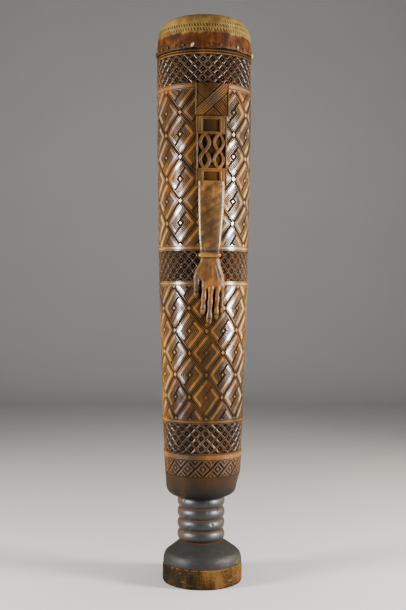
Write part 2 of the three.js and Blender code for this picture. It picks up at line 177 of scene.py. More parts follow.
class Finish:
    def __init__(self, name):
        self.material = bpy.data.materials.new(name)
        self.material.use_nodes = True
        self.tree = self.material.node_tree
        self.shader = self.tree.nodes["Principled BSDF"]
        self.place = self.node("ShaderNodeTexCoord").outputs["Object"]

    def node(self, kind, settings=None, sockets=None):
        made = self.tree.nodes.new(kind)
        for key, value in (settings or {}).items():
            setattr(made, key, value)
        for key, value in (sockets or {}).items():
            self.feed(made.inputs[key], value)
        return made

    def feed(self, socket, value):
        if isinstance(value, Wire):
            value = value.socket
        if isinstance(value, bpy.types.NodeSocket):
            self.tree.links.new(value, socket)
        elif socket.type == "RGBA" and len(value) == 3:
            socket.default_value = (*value, 1)
        else:
            socket.default_value = value

    def maths(self, operation, first, second):
        made = self.node("ShaderNodeMath", {"operation": operation}, {0: first, 1: second})
        return Wire(self, made.outputs[0])

    def absolute(self, value):
        return self.maths("ABSOLUTE", value, 0)

    def limited(self, value):
        return Wire(self, self.node("ShaderNodeClamp", None, {"Value": value}).outputs[0])

    # From 0 to 1 as the value goes from low to high
    def between(self, value, low, high):
        made = self.node("ShaderNodeMapRange", {"interpolation_type": "SMOOTHSTEP"},
                         {"Value": value, "From Min": low, "From Max": high})
        return Wire(self, made.outputs[0])

    def noise(self, scale, detail, stretch=(1, 1, 1)):
        made = self.node("ShaderNodeMapping", None, {"Vector": self.place, "Scale": stretch})
        texture = self.node("ShaderNodeTexNoise", None, {
            "Vector": made.outputs[0], "Scale": scale, "Detail": detail, "Roughness": 0.55})
        return Wire(self, texture.outputs[0])

    def attribute(self, name):
        return Wire(self, self.node("ShaderNodeAttribute", {"attribute_name": name}).outputs["Fac"])

    # One axis of the place on the piece, or of other coordinates
    def along(self, axis, place=None):
        split = self.node("ShaderNodeSeparateXYZ", None, {"Vector": self.place if place is None else place})
        return Wire(self, split.outputs[axis])

    def blend(self, share, first, second):
        made = self.node("ShaderNodeMix", {"data_type": "RGBA"})
        self.feed(made.inputs[0], share)
        self.feed(made.inputs[6], first)
        self.feed(made.inputs[7], second)
        return made.outputs[2]

    def ramp(self, value, stops):
        made = self.node("ShaderNodeValToRGB", None, {"Fac": value})
        elements = made.color_ramp.elements
        while len(elements) < len(stops):
            elements.new(1)
        for element, (spot, color) in zip(elements, stops):
            element.position, element.color = spot, (*color, 1)
        return made.outputs[0]

    def bump(self, value, distance, strength, over=None):
        sockets = {"Height": value, "Distance": distance, "Strength": strength}
        if over is not None:
            sockets["Normal"] = over
        return self.node("ShaderNodeBump", None, sockets).outputs[0]

    def finish(self, sockets):
        for key, value in sockets.items():
            self.feed(self.shader.inputs[key], value)
        return self.material

    # The same colours without the polish, laid over the polished surface by a share
    def dulled(self, share, color, roughness, normal):
        dull = self.node("ShaderNodeBsdfPrincipled", None, {
            "Base Color": color, "Roughness": roughness, "Normal": normal, "Specular IOR Level": 0.08})
        both = self.node("ShaderNodeMixShader", None, {
            0: share, 1: self.shader.outputs[0], 2: dull.outputs[0]})
        self.feed(self.tree.nodes["Material Output"].inputs["Surface"], both.outputs[0])


woodLook = {
    "groove": (0.008, 0.0035, 0.0012),
    "dark": (0.030, 0.013, 0.003),
    "brown": (0.100, 0.044, 0.0075),
    "gold": (0.265, 0.121, 0.0155),
    "orange": (0.25, 0.078, 0.006),
    "black": (0.0065, 0.0077, 0.0066),
    "under": (0.018, 0.008, 0.0018),
    "worn": (0.020, 0.0115, 0.0025),
    "wornDark": (0.006, 0.0043, 0.0018),
    "wornOrange": (0.066, 0.025, 0.0034),
    "wornPale": (0.115, 0.062, 0.015),
    "rust": (0.075, 0.024, 0.006),
    "brushSheen": (0.015, 0.0165, 0.0135),
    "grain": 0.00018,
}

# Where the finishes begin and end going up, in metres
woodZones = {
    "footSide": (0.0435, 0.0405),
    "lip": 0.0405,
    "blackFrom": (0.030, 0.047),
    "blackTo": (0.230, 0.188),
    "scratched": (0.096, 0.02),
    "brushSheen": (0.088, 0.082),
    "dome": (0.100, 0.086),
    "rings": (0.090, 0.094),
    "underFrom": (0.183, 0.186),
    "underTo": (0.2355, 0.2325),
    "collarSeat": (1.1088, 1.1098),
}


# Polished dark wood: gold where hands rub it, brown in between, near black at the stem, and painted shade near
# black in the cuts
def carvedWood():
    f = Finish("carvedWood")
    look = woodLook
    relief, plain, shade, dull = (f.attribute(name) for name in ("relief", "plain", "shade", "dull"))
    height, across = f.along("Z"), f.along("X")

    def zone(name):
        return f.between(height, *woodZones[name])

    broad = f.noise(9, 3, (1, 1, 0.45))
    patch = f.noise(34, 4, (1, 1, 0.35))
    fine = f.noise(160, 5, (1, 1, 0.12))
    speck = f.noise(420, 4)
    tone = f.limited(broad * 1.9 - 0.6 + (patch - 0.5) + plain * 0.12 - shade * 0.4)
    base = f.ramp(tone, [(0, look["dark"]), (0.38, look["brown"]), (0.72, look["gold"]), (1, look["gold"])])
    warm = f.between(f.noise(16, 2, (1, 1, 0.7)), 0.52, 0.7) * 0.5
    base = f.blend(warm, base, look["orange"])
    streaks = f.between(fine, 0.35, 0.75)
    base = f.blend(f.limited(streaks * 0.3 + shade), base, look["dark"])
    # painted shade: the barrel's underside, below the carving, is darkened
    belowCarving = zone("underTo")
    base = f.blend(belowCarving * 0.85, base, look["under"])
    # the stem and the dome of the foot are blackened, the foot's side is worn to bare orange wood
    stem = zone("blackTo") * zone("blackFrom")
    base = f.blend(f.limited(stem * (1.12 - patch * 0.35)), base, look["black"])
    foot = f.between(height + (patch - 0.5) * 0.004, *woodZones["footSide"])
    wear = f.limited(patch * 1.9 - 0.5 + (speck - 0.5) * 1.1 + (broad - 0.5) * 1.2)
    worn = f.ramp(wear, [(0.15, look["wornDark"]), (0.42, look["worn"]), (0.72, look["wornOrange"]),
                         (1, look["wornPale"])])
    base = f.blend(foot * 0.94, base, worn)
    lip = f.between(f.absolute(height + (patch - 0.5) * 0.003 - woodZones["lip"]), 0.0016, 0.0004)
    base = f.blend(lip * f.between(speck + patch * 0.6, 0.72, 0.86), base, look["wornPale"])
    rightSide = f.between(across, 0.015, 0.06)
    scratches = f.between(f.noise(120, 3, (0.5, 0.5, 2.2)) + rightSide * 0.05, 0.62, 0.69)
    base = f.blend(scratches * zone("scratched") * 0.75, base, look["wornPale"])
    # the left of the stem's rings is rubbed brown, the dome shows strokes of the brush, painted lighter as a
    # sheen
    rubbed = stem * zone("rings") * f.between(across, -0.028, -0.046)
    base = f.blend(rubbed * f.between(patch * 0.6 + speck * 0.6, 0.56, 0.68) * 0.8, base, look["wornOrange"])
    brushSheen = f.between(f.noise(70, 3, (0.35, 0.35, 4)), 0.5, 0.68) * zone("brushSheen")
    base = f.blend(brushSheen * (1 - foot) * 0.4, base, look["brushSheen"])
    # painted shade: the bottoms of the cuts are painted near black; in the stem's grooves the same mark gives
    # rust instead
    cut = f.limited(0.97 - relief + (speck - 0.5) * 0.2)
    base = f.blend(cut, base, f.blend(stem, look["groove"], look["rust"]))
    under = belowCarving * zone("underFrom")
    dome = zone("dome")
    rough = 0.40 + cut * 0.3 + (patch - 0.5) * 0.22 - plain * 0.14 + (fine - 0.5) * 0.1
    rough = f.limited(rough + dome * 0.1 + stem * 0.06)
    normal = f.bump(fine, look["grain"], 0.45)
    normal = f.bump(speck, 0.0001, 0.3, normal)
    coat = f.limited(0.35 + plain * 0.55 - cut * 0.6 - dome * 0.25 - stem * 0.3)
    collarSeat = zone("collarSeat")
    dullness = f.limited(dull + cut * 0.85 + foot + dome * 0.45 + under * 0.9 + collarSeat * 0.6)
    f.dulled(dullness, base, f.limited(rough + 0.25), normal)
    return f.finish({"Base Color": base, "Roughness": rough, "Normal": normal, "Specular IOR Level": 0.5,
                     "Coat Weight": coat, "Coat Roughness": 0.15})


wood = carvedWood()


def finishWood(piece, sharpAngle):
    finishPiece(piece, ["drum_body"], wood, sharpAngle)


# Turning: a disc is extruded, moved and scaled ring by ring, as on a lathe

def turned(name, profile, sides):
    deselectAll()
    radius, z = profile[0]
    bpy.ops.mesh.primitive_circle_add(vertices=sides, radius=radius * mm, location=(0, 0, z * mm),
                                      fill_type="NGON")
    piece = bpy.context.object
    piece.name = piece.data.name = name
    bpy.ops.object.transform_apply(location=True)
    editAll()
    for (lastRadius, lastZ), (radius, z) in zip(profile, profile[1:]):
        wider = radius / lastRadius
        bpy.ops.mesh.extrude_region_move(TRANSFORM_OT_translate={"value": (0, 0, (z - lastZ) * mm)})
        bpy.ops.transform.resize(value=(wider, wider, 1), center_override=(0, 0, z * mm))
    endEdit()
    return piece


# Points along an arc of a circle, as (radius, z)
def arc(centreRadius, centreZ, size, startDegrees, endDegrees, steps):
    turns = np.radians(np.linspace(startDegrees, endDegrees, steps + 1))
    return [(centreRadius + size * math.cos(t), centreZ + size * math.sin(t)) for t in turns]


coreSizes = {
    "sides": 192,
    "footRadius": 85,
    "footEdge": 5,
    "stemRadius": 46,
    "ringRadius": 51,
    "stemRings": 4,
    "ringCut": 1.4,
    "bandRaise": 0.9,
    "sinkUnderCarving": 5.5,
    "wall": 18,
    "chamberFloor": 222,
    "underHide": 98.6,
    "innerNeck": 95.4,
    "shoulder": 30,
    "shoulderCentre": 1165,
    # radius and height where the foot's dome and the barrel's rounded underside bend
    "dome": ((84.1, 44), (83.9, 47), (83.4, 51), (82.5, 55), (81.2, 58.5), (79.3, 61.8), (76.6, 64.9),
             (72, 68.6), (66, 73.0), (60, 77.4), (54, 81.8), (49, 85.4), (45.6, 88)),
    "underside": ((53, 183.2), (60, 184.5), (66, 187.6), (70.5, 191.4), (73.2, 195.6), (75, 200.4), (76, 206),
                  (76.8, 212), (77.8, 219), (79, 226), (80, 231), (80.4, 232.6), (79.6, 233.2), (80.3, 233.9)),
    "collarSeat": ((102.4, 1109.5), (101.3, 1111.5), (101.3, 1113), (102.2, 1114.6), (101.1, 1116.6),
                   (101.3, 1118), (99, 1119.5)),
    "lineInset": 2.0,
    "lineHalf": 0.9,
    "lineDepth": 1.2,
}


def coreProfile():
    s = coreSizes
    edge = s["footEdge"]
    points = [(s["footRadius"] - edge, 0)]
    points += arc(s["footRadius"] - edge, edge, edge, -60, 0, 3)
    points += [(s["footRadius"], z) for z in (9, 14, 19, 24, 29, 33)]
    points += arc(s["footRadius"] - edge, heights["footSideTop"] - edge, edge, 0, 45, 3)
    points += s["dome"]
    tall = (heights["stemTop"] - heights["stemBottom"]) / s["stemRings"]
    inner = s["stemRadius"] - s["ringCut"]
    for n in range(s["stemRings"]):
        low = heights["stemBottom"] + n * tall
        for t in np.linspace(0.02, 0.98, 11):
            swell = math.sin(math.pi * t) ** 0.55
            points.append((inner + (s["ringRadius"] - inner) * swell, low + t * tall))
    points += s["underside"]
    sink = s["sinkUnderCarving"]
    lastHigh = None
    for name in ("zigzag", "bandThree", "lowerField", "bandTwo", "upperField", "bandOne"):
        low, high = heights[name]
        lowRadius, highRadius = float(barrelRadius(low)), float(barrelRadius(high))
        if lastHigh:  # two cut lines run round each plain band
            for z in (lastHigh + s["lineInset"], low - s["lineInset"]):
                on = float(barrelRadius(z)) + s["bandRaise"]
                points += [(on, z - s["lineHalf"]), (on - s["lineDepth"], z), (on, z + s["lineHalf"])]
        raised = lowRadius + (s["bandRaise"] if lastHigh else 0)
        points += [(raised, low - 0.5), (raised - 0.5, low), (lowRadius - sink, low + 0.1)]
        points += [(highRadius - sink, high - 0.1), (highRadius + s["bandRaise"] - 0.5, high)]
        points.append((highRadius + s["bandRaise"], high + 0.5))
        lastHigh = high
    points += s["collarSeat"]
    points += [(s["underHide"], 1121), (s["innerNeck"], 1160)]
    points += arc(s["innerNeck"] - s["shoulder"], s["shoulderCentre"], s["shoulder"], 0, 58, 5)
    points += [(s["underHide"] - s["wall"], points[-1][1])]
    for z in (1110, 930, 640, 340, 252):
        points.append((float(barrelRadius(z)) - s["wall"], z))
    points += arc(37, s["chamberFloor"] + 30, 30, -15, -90, 6)
    return points


wearSizes = {  # metres
    "chipDepth": 0.0042,
    "chippedEdges": (0.040, 0.001),
    "chipReach": 0.006,
    "waver": 0.0004,
    "nickDepth": 0.003,
    "stemLean": 0.003,
}


def chipAndWear(piece):
    s = wearSizes
    points = pointsOf(piece)
    radius = np.hypot(points[:, 0], points[:, 1])
    z = points[:, 2]
    outside = radius > 0.044
    foot = outside & (z < 0.046)
    edgeness = sum(bell(z - edge, s["chipReach"]) for edge in s["chippedEdges"])
    bite = np.clip(unevenness(points, 0.020, 3) * 0.7 + unevenness(points, 0.009, 4) * 0.5 - 0.35, 0, 1)
    sinking = np.where(foot, edgeness * bite * s["chipDepth"], 0)
    sinking += np.where(outside & (z < 0.235), unevenness(points, 0.05, 5) * s["waver"], 0)
    nicks = np.clip(unevenness(points, 0.013, 6) - 0.75, 0, 1) * s["nickDepth"]
    sinking += np.where(outside & (z > 0.09) & (z < 0.183), nicks, 0)
    sinking[z < 0.0005] = 0
    points[:, :2] *= (1 - sinking / radius)[:, None]
    setPoints(piece, points)
    # relief, which the material turns into painted shade in the cut lines round the plain bands and in the
    # step under the carving; on the stem its low grooves get rust
    relief = np.ones(len(points))
    stem = (z > 0.087) & (z < 0.186)
    relief[stem] = np.clip((radius[stem] - 0.0450) / 0.003, 0, 1)
    bands = outside & (z > 0.232) & (z < 1.121)
    level = (barrelRadius(z / mm) + coreSizes["bandRaise"]) * mm
    relief[bands] = np.clip(1 + (radius - level)[bands] / 0.0012, 0, 1)
    below = bands & (z < 0.2345)
    relief[below] = np.clip(1 + (radius - 0.0804)[below] / 0.0008, 0, 1)
    # the stem stands a little to the left of the foot
    lean = smoothstep(0.070, 0.095, z) * smoothstep(0.240, 0.200, z) * outside
    points[:, 0] -= s["stemLean"] * lean
    setPoints(piece, points)
    plainBands = outside * smoothstep(0.264, 0.268, z) * (z < 1.112)
    lowBands = plainBands * (z < 0.36)
    paint(piece, relief=relief, plain=0.55 * plainBands - 0.4 * lowBands, shade=0.05 * plainBands,
          dull=0.2 * plainBands + 0.45 * lowBands)


core = turned("drumCore", coreProfile(), coreSizes["sides"])
chipAndWear(core)
finishWood(core, 40)


# Carving in a checkerboard of diamonds. Each diamond is a square grid on its own slanting axes, u towards
# the upper right and v towards the upper left, so every cut is followed by the grid's lines.

carvingSizes = {
    "reliefDepth": 1.9,
    "behind": 7.5,  # how far in under the neighbouring wood the rims reach
    "rimFade": 12,
    "wanderUp": 0.9,
    "wanderRound": 0.55,
    "unevenSmall": 0.32,
    "unevenLarge": 0.25,
}


# The diamonds joined: angle, height, rise and polish of each point, and the faces
def diamonds(low, high, rows, columns, phase, firstIsDiamond, profile, shape):
    marks = np.array([mark for mark, rise, polish in profile], dtype=float)
    grid = np.concatenate([-marks[::-1], marks[1:]])
    count = len(grid)
    u, v = np.meshgrid(grid, grid, indexing="ij")
    rise, plain = shape(u, v)
    right, up = (u - v) / 2, (u + v) / 2
    step = (360 / columns, (high - low) / rows)
    i, j = np.meshgrid(np.arange(count - 1), np.arange(count - 1), indexing="ij")
    corner = (i * count + j).reshape(-1, 1)
    across = (i + j).ravel() - (count - 2)
    lower, upper = corner + [0, count, 1], corner + [count, count + 1, 1]
    square = corner + [0, count, count + 1, 1]
    spots, keys, triangles, squares = [], [], [], []
    fine = 20000  # points that agree to one part in so many of a step are joined
    for row in range(rows + 1):
        # the first and last rows are cut in half
        whole = across > 0 if row == 0 else across < 0 if row == rows else across != 0
        for column in range(columns):
            if (row + column + (0 if firstIsDiamond else 1)) % 2:
                continue
            start = len(spots) * count * count
            angle = phase + (column + right) * step[0]
            spots.append(np.stack([angle, low + (row + up) * step[1], rise, plain], -1).reshape(-1, 4))
            keys.append(np.round((column + right) * fine).astype(np.int64) % (columns * fine) * 10 ** 9
                        + np.round((row + up) * fine).astype(np.int64) + 10 ** 6)
            squares.append(square[whole] + start)
            if row > 0:  # squares on the middle line are two triangles, so that half a diamond can end there
                triangles.append(lower[across == 0] + start)
            if row < rows:
                triangles.append(upper[across == 0] + start)
    keys = np.concatenate([key.ravel() for key in keys])
    _, first, merged = np.unique(keys, return_index=True, return_inverse=True)
    faces = [face for part in (triangles, squares) for face in merged[np.concatenate(part)].tolist()]
    used = np.unique([n for face in faces for n in face])
    renumber = np.full(len(first), -1)
    renumber[used] = np.arange(len(used))
    faces = [tuple(renumber[face].tolist()) for face in faces]
    return np.concatenate(spots)[first][used].T, faces


def carvedBand(name, low, high, rows, columns, phase, firstIsDiamond, profile, shape, level=0, shade=0):
    s = carvingSizes
    (angle, z, rise, polish), faces = diamonds(low, high, rows, columns, phase, firstIsDiamond, profile, shape)
    onEdge = [np.flatnonzero(np.abs(z - end) < 1e-3) for end in (low, high)]
    # a carver's hand: the lines wander a little and the depth is never quite even
    spots = onDrum(angle, barrelRadius(z), z)
    inner = smoothstep(low, low + s["rimFade"], z) * smoothstep(high, high - s["rimFade"], z)
    z = z + unevenness(spots, 0.075, 11) * s["wanderUp"] * inner
    angle = angle + unevenness(spots, 0.085, 12) * s["wanderRound"]
    uneven = unevenness(spots, 0.03, 13) * s["unevenSmall"], unevenness(spots, 0.11, 14) * s["unevenLarge"]
    points = onDrum(angle, barrelRadius(z) + level + rise + uneven[0] + uneven[1], z)
    # the band's two rims turn in under the neighbouring wood and join behind
    total = len(points)
    rims = []
    for rim, end in zip(onEdge, (low, high)):
        rim = rim[np.argsort(angle[rim] % 360)]
        rims.append(rim)
        points = np.concatenate([points, onDrum(angle[rim], barrelRadius(end) + level - s["behind"], z[rim])])
    bottomRim, topRim = rims
    size = len(bottomRim)
    for n in range(size):
        m = (n + 1) % size
        faces.append((bottomRim[n], total + n, total + m, bottomRim[m]))
        faces.append((topRim[n], topRim[m], total + size + m, total + size + n))
        faces.append((total + n, total + size + n, total + size + m, total + m))
    # relief is 0 at the bottom of the cuts and 1 on the ribs; the material paints shade near black where it is
    # low
    relief = np.concatenate([np.clip(1 + rise / s["reliefDepth"], 0, 1), np.zeros(2 * size)])
    polish = np.concatenate([polish, np.zeros(2 * size)])
    band = meshPiece(name, points, faces)
    # painted shade: the lined zones are darkened for the shade of their fine lines
    paint(band, relief=relief, plain=polish, shade=shade + 0.3 * (1 - polish),
          dull=np.clip(0.8 * (1 - polish), 0, 0.5))
    return band


# Rise and polish at some way from a diamond's middle, by a profile of marks
def atMarks(profile, way):
    marks, rises, polish = (np.array(column) for column in zip(*profile))
    return np.interp(way, marks, rises), np.interp(way, marks, polish)


interlaceSizes = {
    "columns": 16,
    "bossEdge": 0.07,
    "bossGroove": 0.115,
    "striations": 4,
    "striationSlope": 0.27,
    "innerGroove": 0.565,
    "plainStart": 0.59,
    "plainEnd": 0.795,
    "plainRise": 0.05,
    "outerGroove": 0.82,
    "strapRidge": (0.85, 0.90),
    "strapGroove": 0.93,
    "cutDepth": 1.9,
    "lineDepth": 2.4,
    "linedTop": -0.15,
    "linedPolish": 0.35,
    "bossRise": 0.1,
}


# Marks from a diamond's middle to its side, with the rise and the polish at each
def interlaceProfile():
    s = interlaceSizes
    cut, line, top, polish = -s["cutDepth"], -s["lineDepth"], s["linedTop"], s["linedPolish"]
    profile = [(0, s["bossRise"], 1), (s["bossEdge"], s["bossRise"], 1), (s["bossGroove"], cut, 0)]
    pitch = (s["innerGroove"] - s["bossGroove"]) / s["striations"]
    for n in range(s["striations"]):
        from0 = s["bossGroove"] + n * pitch
        slope = s["striationSlope"] * pitch
        tops = (from0 + slope, from0 + pitch - slope) if n else (from0 + pitch / 2,)
        profile += [(mark, top, polish) for mark in tops] + [(from0 + pitch, line, 0)]
    profile[-1] = (s["innerGroove"], cut, 0)
    profile += [(s[name], s["plainRise"], 1) for name in ("plainStart", "plainEnd")]
    profile += [(s["outerGroove"], cut, 0)] + [(mark, top, polish) for mark in s["strapRidge"]]
    profile += [(s["strapGroove"], line, 0), (1, top, polish)]
    return profile


def interlaceShape(u, v):
    s = interlaceSizes
    near = 1e-6
    a, b = np.abs(u), np.abs(v)
    upright = u * v > 0  # above and below the middle, where one strand passes over the other
    over = upright & (b >= s["bossGroove"] - near)
    nearest = np.where(upright, np.where(over, b, a), np.maximum(a, b))
    nearest = np.where((a < s["bossGroove"]) & (b < s["bossGroove"]), np.maximum(a, b), nearest)
    side = s["outerGroove"] + near
    nearest = np.where((a > side) & (b <= side), a, nearest)
    nearest = np.where((b > side) & (a <= side), b, nearest)
    nearest = np.where((a > side) & (b > side), b, nearest)
    rise, plain = atMarks(interlaceProfile(), nearest)
    # the strand that passes under ends at a cut, and the other's end dips into the strap beside it
    under = upright & (a > b) & (np.abs(b - s["bossGroove"]) < near) & (a <= side)
    rise, plain = np.where(under, -s["cutDepth"], rise), np.where(under, 0, plain)
    end = upright & over & (np.abs(a - s["outerGroove"]) < near)
    rise, plain = np.where(end, -s["cutDepth"], rise), np.where(end, 0, plain)
    # a small lozenge where the straps cross
    inner = np.minimum(a, b)
    lozenge = inner > s["strapRidge"][1] - near
    ditch = (inner > s["strapRidge"][0] - near) & ~lozenge
    rise = np.where(lozenge, s["bossRise"], np.where(ditch, -s["cutDepth"], rise))
    plain = np.where(lozenge, 1, np.where(ditch, 0, plain))
    return rise, plain


def interlaceField(name, low, high, rows, phase):
    piece = carvedBand(name, low, high, rows, interlaceSizes["columns"], phase, False, interlaceProfile(),
                       interlaceShape)
    finishWood(piece, 35)


interlaceField("lowerInterlace", *heights["lowerField"], 6, columnPhase)
interlaceField("upperInterlace", *heights["upperField"], 7, columnPhase + 180 / interlaceSizes["columns"])


# The narrow bands: double-lined ribs round deep pits, each with an eye in its middle
pitSizes = {
    "profile": ((0, -0.7, 0.5), (0.19, -0.9, 0.4), (0.35, -3.3, 0), (0.56, -2.8, 0), (0.68, -0.3, 0.4),
                (0.84, 0.1, 0.5), (1, -1.3, 0)),
    "rows": 6,
    "level": -0.4,
    "shade": 0.34,
}


def pitShape(u, v):
    return atMarks(pitSizes["profile"], np.maximum(np.abs(u), np.abs(v)))


def pittedBand(name, low, high, columns):
    s = pitSizes
    piece = carvedBand(name, low, high, s["rows"], columns, columnPhase, True, s["profile"], pitShape,
                       s["level"], s["shade"])
    finishWood(piece, 62)


pittedBand("pittedBandThree", *heights["bandThree"], 52)
pittedBand("pittedBandTwo", *heights["bandTwo"], 64)
pittedBand("pittedBandOne", *heights["bandOne"], 64)

# The low band: two zigzag straps that pass over and under each other, with a lozenge in each gap
zigzagSizes = {
    "profile": ((0, -0.1, 0.3), (0.28, -0.1, 0.3), (0.33, -1.9, 0), (0.46, -1.9, 0), (0.51, 0, 0.3),
                (0.66, 0, 0.3), (0.69, -0.9, 0), (0.72, 0, 0.3), (0.85, 0, 0.3), (0.90, -1.9, 0),
                (1, -1.9, 0)),
    "strapStart": 0.50,
    "rows": 2,
    "columns": 32,
    "phase": 0.5,
    "level": 0.3,
    "shade": 0.1,
}


def zigzagShape(u, v):
    a, b = np.abs(u), np.abs(v)
    nearest = np.where(u * v > 0, np.where(b > zigzagSizes["strapStart"], b, a), np.maximum(a, b))
    return atMarks(zigzagSizes["profile"], nearest)


def zigzagBand(low, high):
    s = zigzagSizes
    piece = carvedBand("zigzagBand", low, high, s["rows"], s["columns"], s["phase"], False, s["profile"],
                       zigzagShape, s["level"], s["shade"])
    finishWood(piece, 40)


zigzagBand(*heights["zigzag"])


# The arm is shaped flat, x across it from the arm's middle and y towards the viewer as minus, then bent
# round the drum

armSizes = {
    "middle": 16,  # along the drum's surface, right of its front
    "depthInWood": 6,
    "voxel": 0.85,
    "squareness": {"forearm": 8},
    "forearm": ((846, -26, 24, 13.5), (820, -26, 24, 14.5), (790, -25.5, 22.5, 15.5), (760, -25, 20, 15.5),
                (735, -24.5, 18, 15), (715, -23, 16.6, 13.5), (699, -21.5, 14.5, 11.5)),
    "bracelet": ((698, -22, 15, 11.2), (697, -24.5, 17.5, 14), (695.5, -25.5, 18.5, 15.5),
                 (692.5, -25.5, 18.5, 15.5), (691, -24.5, 17.5, 14), (690, -22, 15, 11.2)),
    # height and width of the cut rings on both sides of it, darkened there with painted shade
    "rings": ((688, 1.6), (702, 2.6)),
    "hand": ((700, -20.5, 14.5, 11), (688, -20.8, 15.5, 11), (676, -23, 18, 10.8), (667, -27, 21, 11.2),
             (658, -30, 23.5, 11.6), (649, -26, 25.5, 12.2), (640, -19.5, 26.5, 12.4), (630, -18, 26, 12),
             (625, -17, 25.5, 9)),
    "thumbBase": ((682, -21, -10, 9), (672, -26.5, -12, 11), (662, -32.5, -14, 12), (652, -35.5, -18, 12),
                  (644, -35.5, -22.5, 11.5), (634, -34.8, -23, 10.8), (628, -34, -24, 9.5)),
    # sheets sunk deep between the fingers, painted near black as shade
    "shadeSheet": ((640, -17, 24, 2.2), (600, -18, 24, 2.2), (574, -16, 20, 1.6)),
    "thumbShadeSheet": ((655, -28, -12, 2.2), (620, -30, -14, 2.2), (606, -28, -16, 1.6)),
    # across at the root, lean of the tip, root and tip heights, half width, how far it stands out
    "fingers": {
        "thumb": (-28.7, -1.2, 650, 606, 7.3, 10.8),
        "index": (-13, -4.2, 642, 571, 5.5, 12.4),
        "middle": (-0.8, -4.3, 640, 551.5, 5.7, 13.2),
        "ring": (12.4, -4.2, 638, 560, 5.3, 12.6),
        "little": (22, -2.9, 640, 574.5, 4.7, 11.2),
    },
    "tendon": 0.6,
    "nailRise": 0.4,
    "nailRim": 1.1,
    "fold": 0.45,
}


# A rounded limb through sections of height, left, right, lowest and highest point off the drum
def limb(name, sections, sides=28, squareness=2):
    deselectAll()
    z, left, right, low, high = sections[0]
    bpy.ops.mesh.primitive_circle_add(vertices=sides, radius=mm, location=(0, 0, 0), fill_type="NGON")
    piece = bpy.context.object
    piece.name = name
    points = pointsOf(piece)
    reach = (np.abs(points / mm) ** squareness).sum(axis=1) ** (1 / squareness)
    setPoints(piece, points / reach[:, None])
    editAll()
    bpy.ops.transform.resize(value=((right - left) / 2, (high - low) / 2, 1), center_override=(0, 0, 0))
    bpy.ops.transform.translate(value=((left + right) / 2 * mm, -(low + high) / 2 * mm, z * mm))
    for last, new in zip(sections, sections[1:]):
        across, away = new[1] + new[2], new[3] + new[4]
        move = ((across - last[1] - last[2]) / 2, -(away - last[3] - last[4]) / 2, new[0] - last[0])
        wider, taller = (new[2] - new[1]) / (last[2] - last[1]), (new[4] - new[3]) / (last[4] - last[3])
        bpy.ops.mesh.extrude_region_move(TRANSFORM_OT_translate={"value": [m * mm for m in move]})
        bpy.ops.transform.resize(value=(wider, taller, 1),
                                 center_override=(across / 2 * mm, -away / 2 * mm, new[0] * mm))
    endEdit()
    return piece


# Swellings along a finger, from root to tip: share of its length, width, height
fingerShape = ((0, 1.0, 0.86), (0.10, 1.02, 0.98), (0.18, 1.0, 1.02), (0.26, 0.82, 0.88),
               (0.36, 0.72, 0.8), (0.44, 0.84, 0.9), (0.50, 0.92, 0.95), (0.56, 0.82, 0.84),
               (0.65, 0.72, 0.74), (0.72, 0.84, 0.78), (0.79, 1.0, 0.8), (0.88, 1.08, 0.76),
               (0.95, 0.92, 0.68), (0.985, 0.66, 0.54), (1, 0.32, 0.38))


def finger(name, across, lean, root, tip, half, height):
    sections = []
    for share, wide, tall in fingerShape:
        middle = across + lean * share
        z = root + (tip - root) * share
        top = height * tall
        sections.append((z, middle - half * wide, middle + half * wide, top - 2 * half * wide * 0.95, top))
    return limb(name, sections, 20)


def sunk(sections):
    return [(z, left, right, -armSizes["depthInWood"] - 4, high) for z, left, right, high in sections]


def bendRoundDrum(piece):
    points = pointsOf(piece) / mm
    height = np.maximum(-points[:, 1], -armSizes["depthInWood"])
    radius = barrelRadius(points[:, 2])
    angle = np.degrees((points[:, 0] + armSizes["middle"]) / radius)
    setPoints(piece, onDrum(angle, radius + height, points[:, 2]))


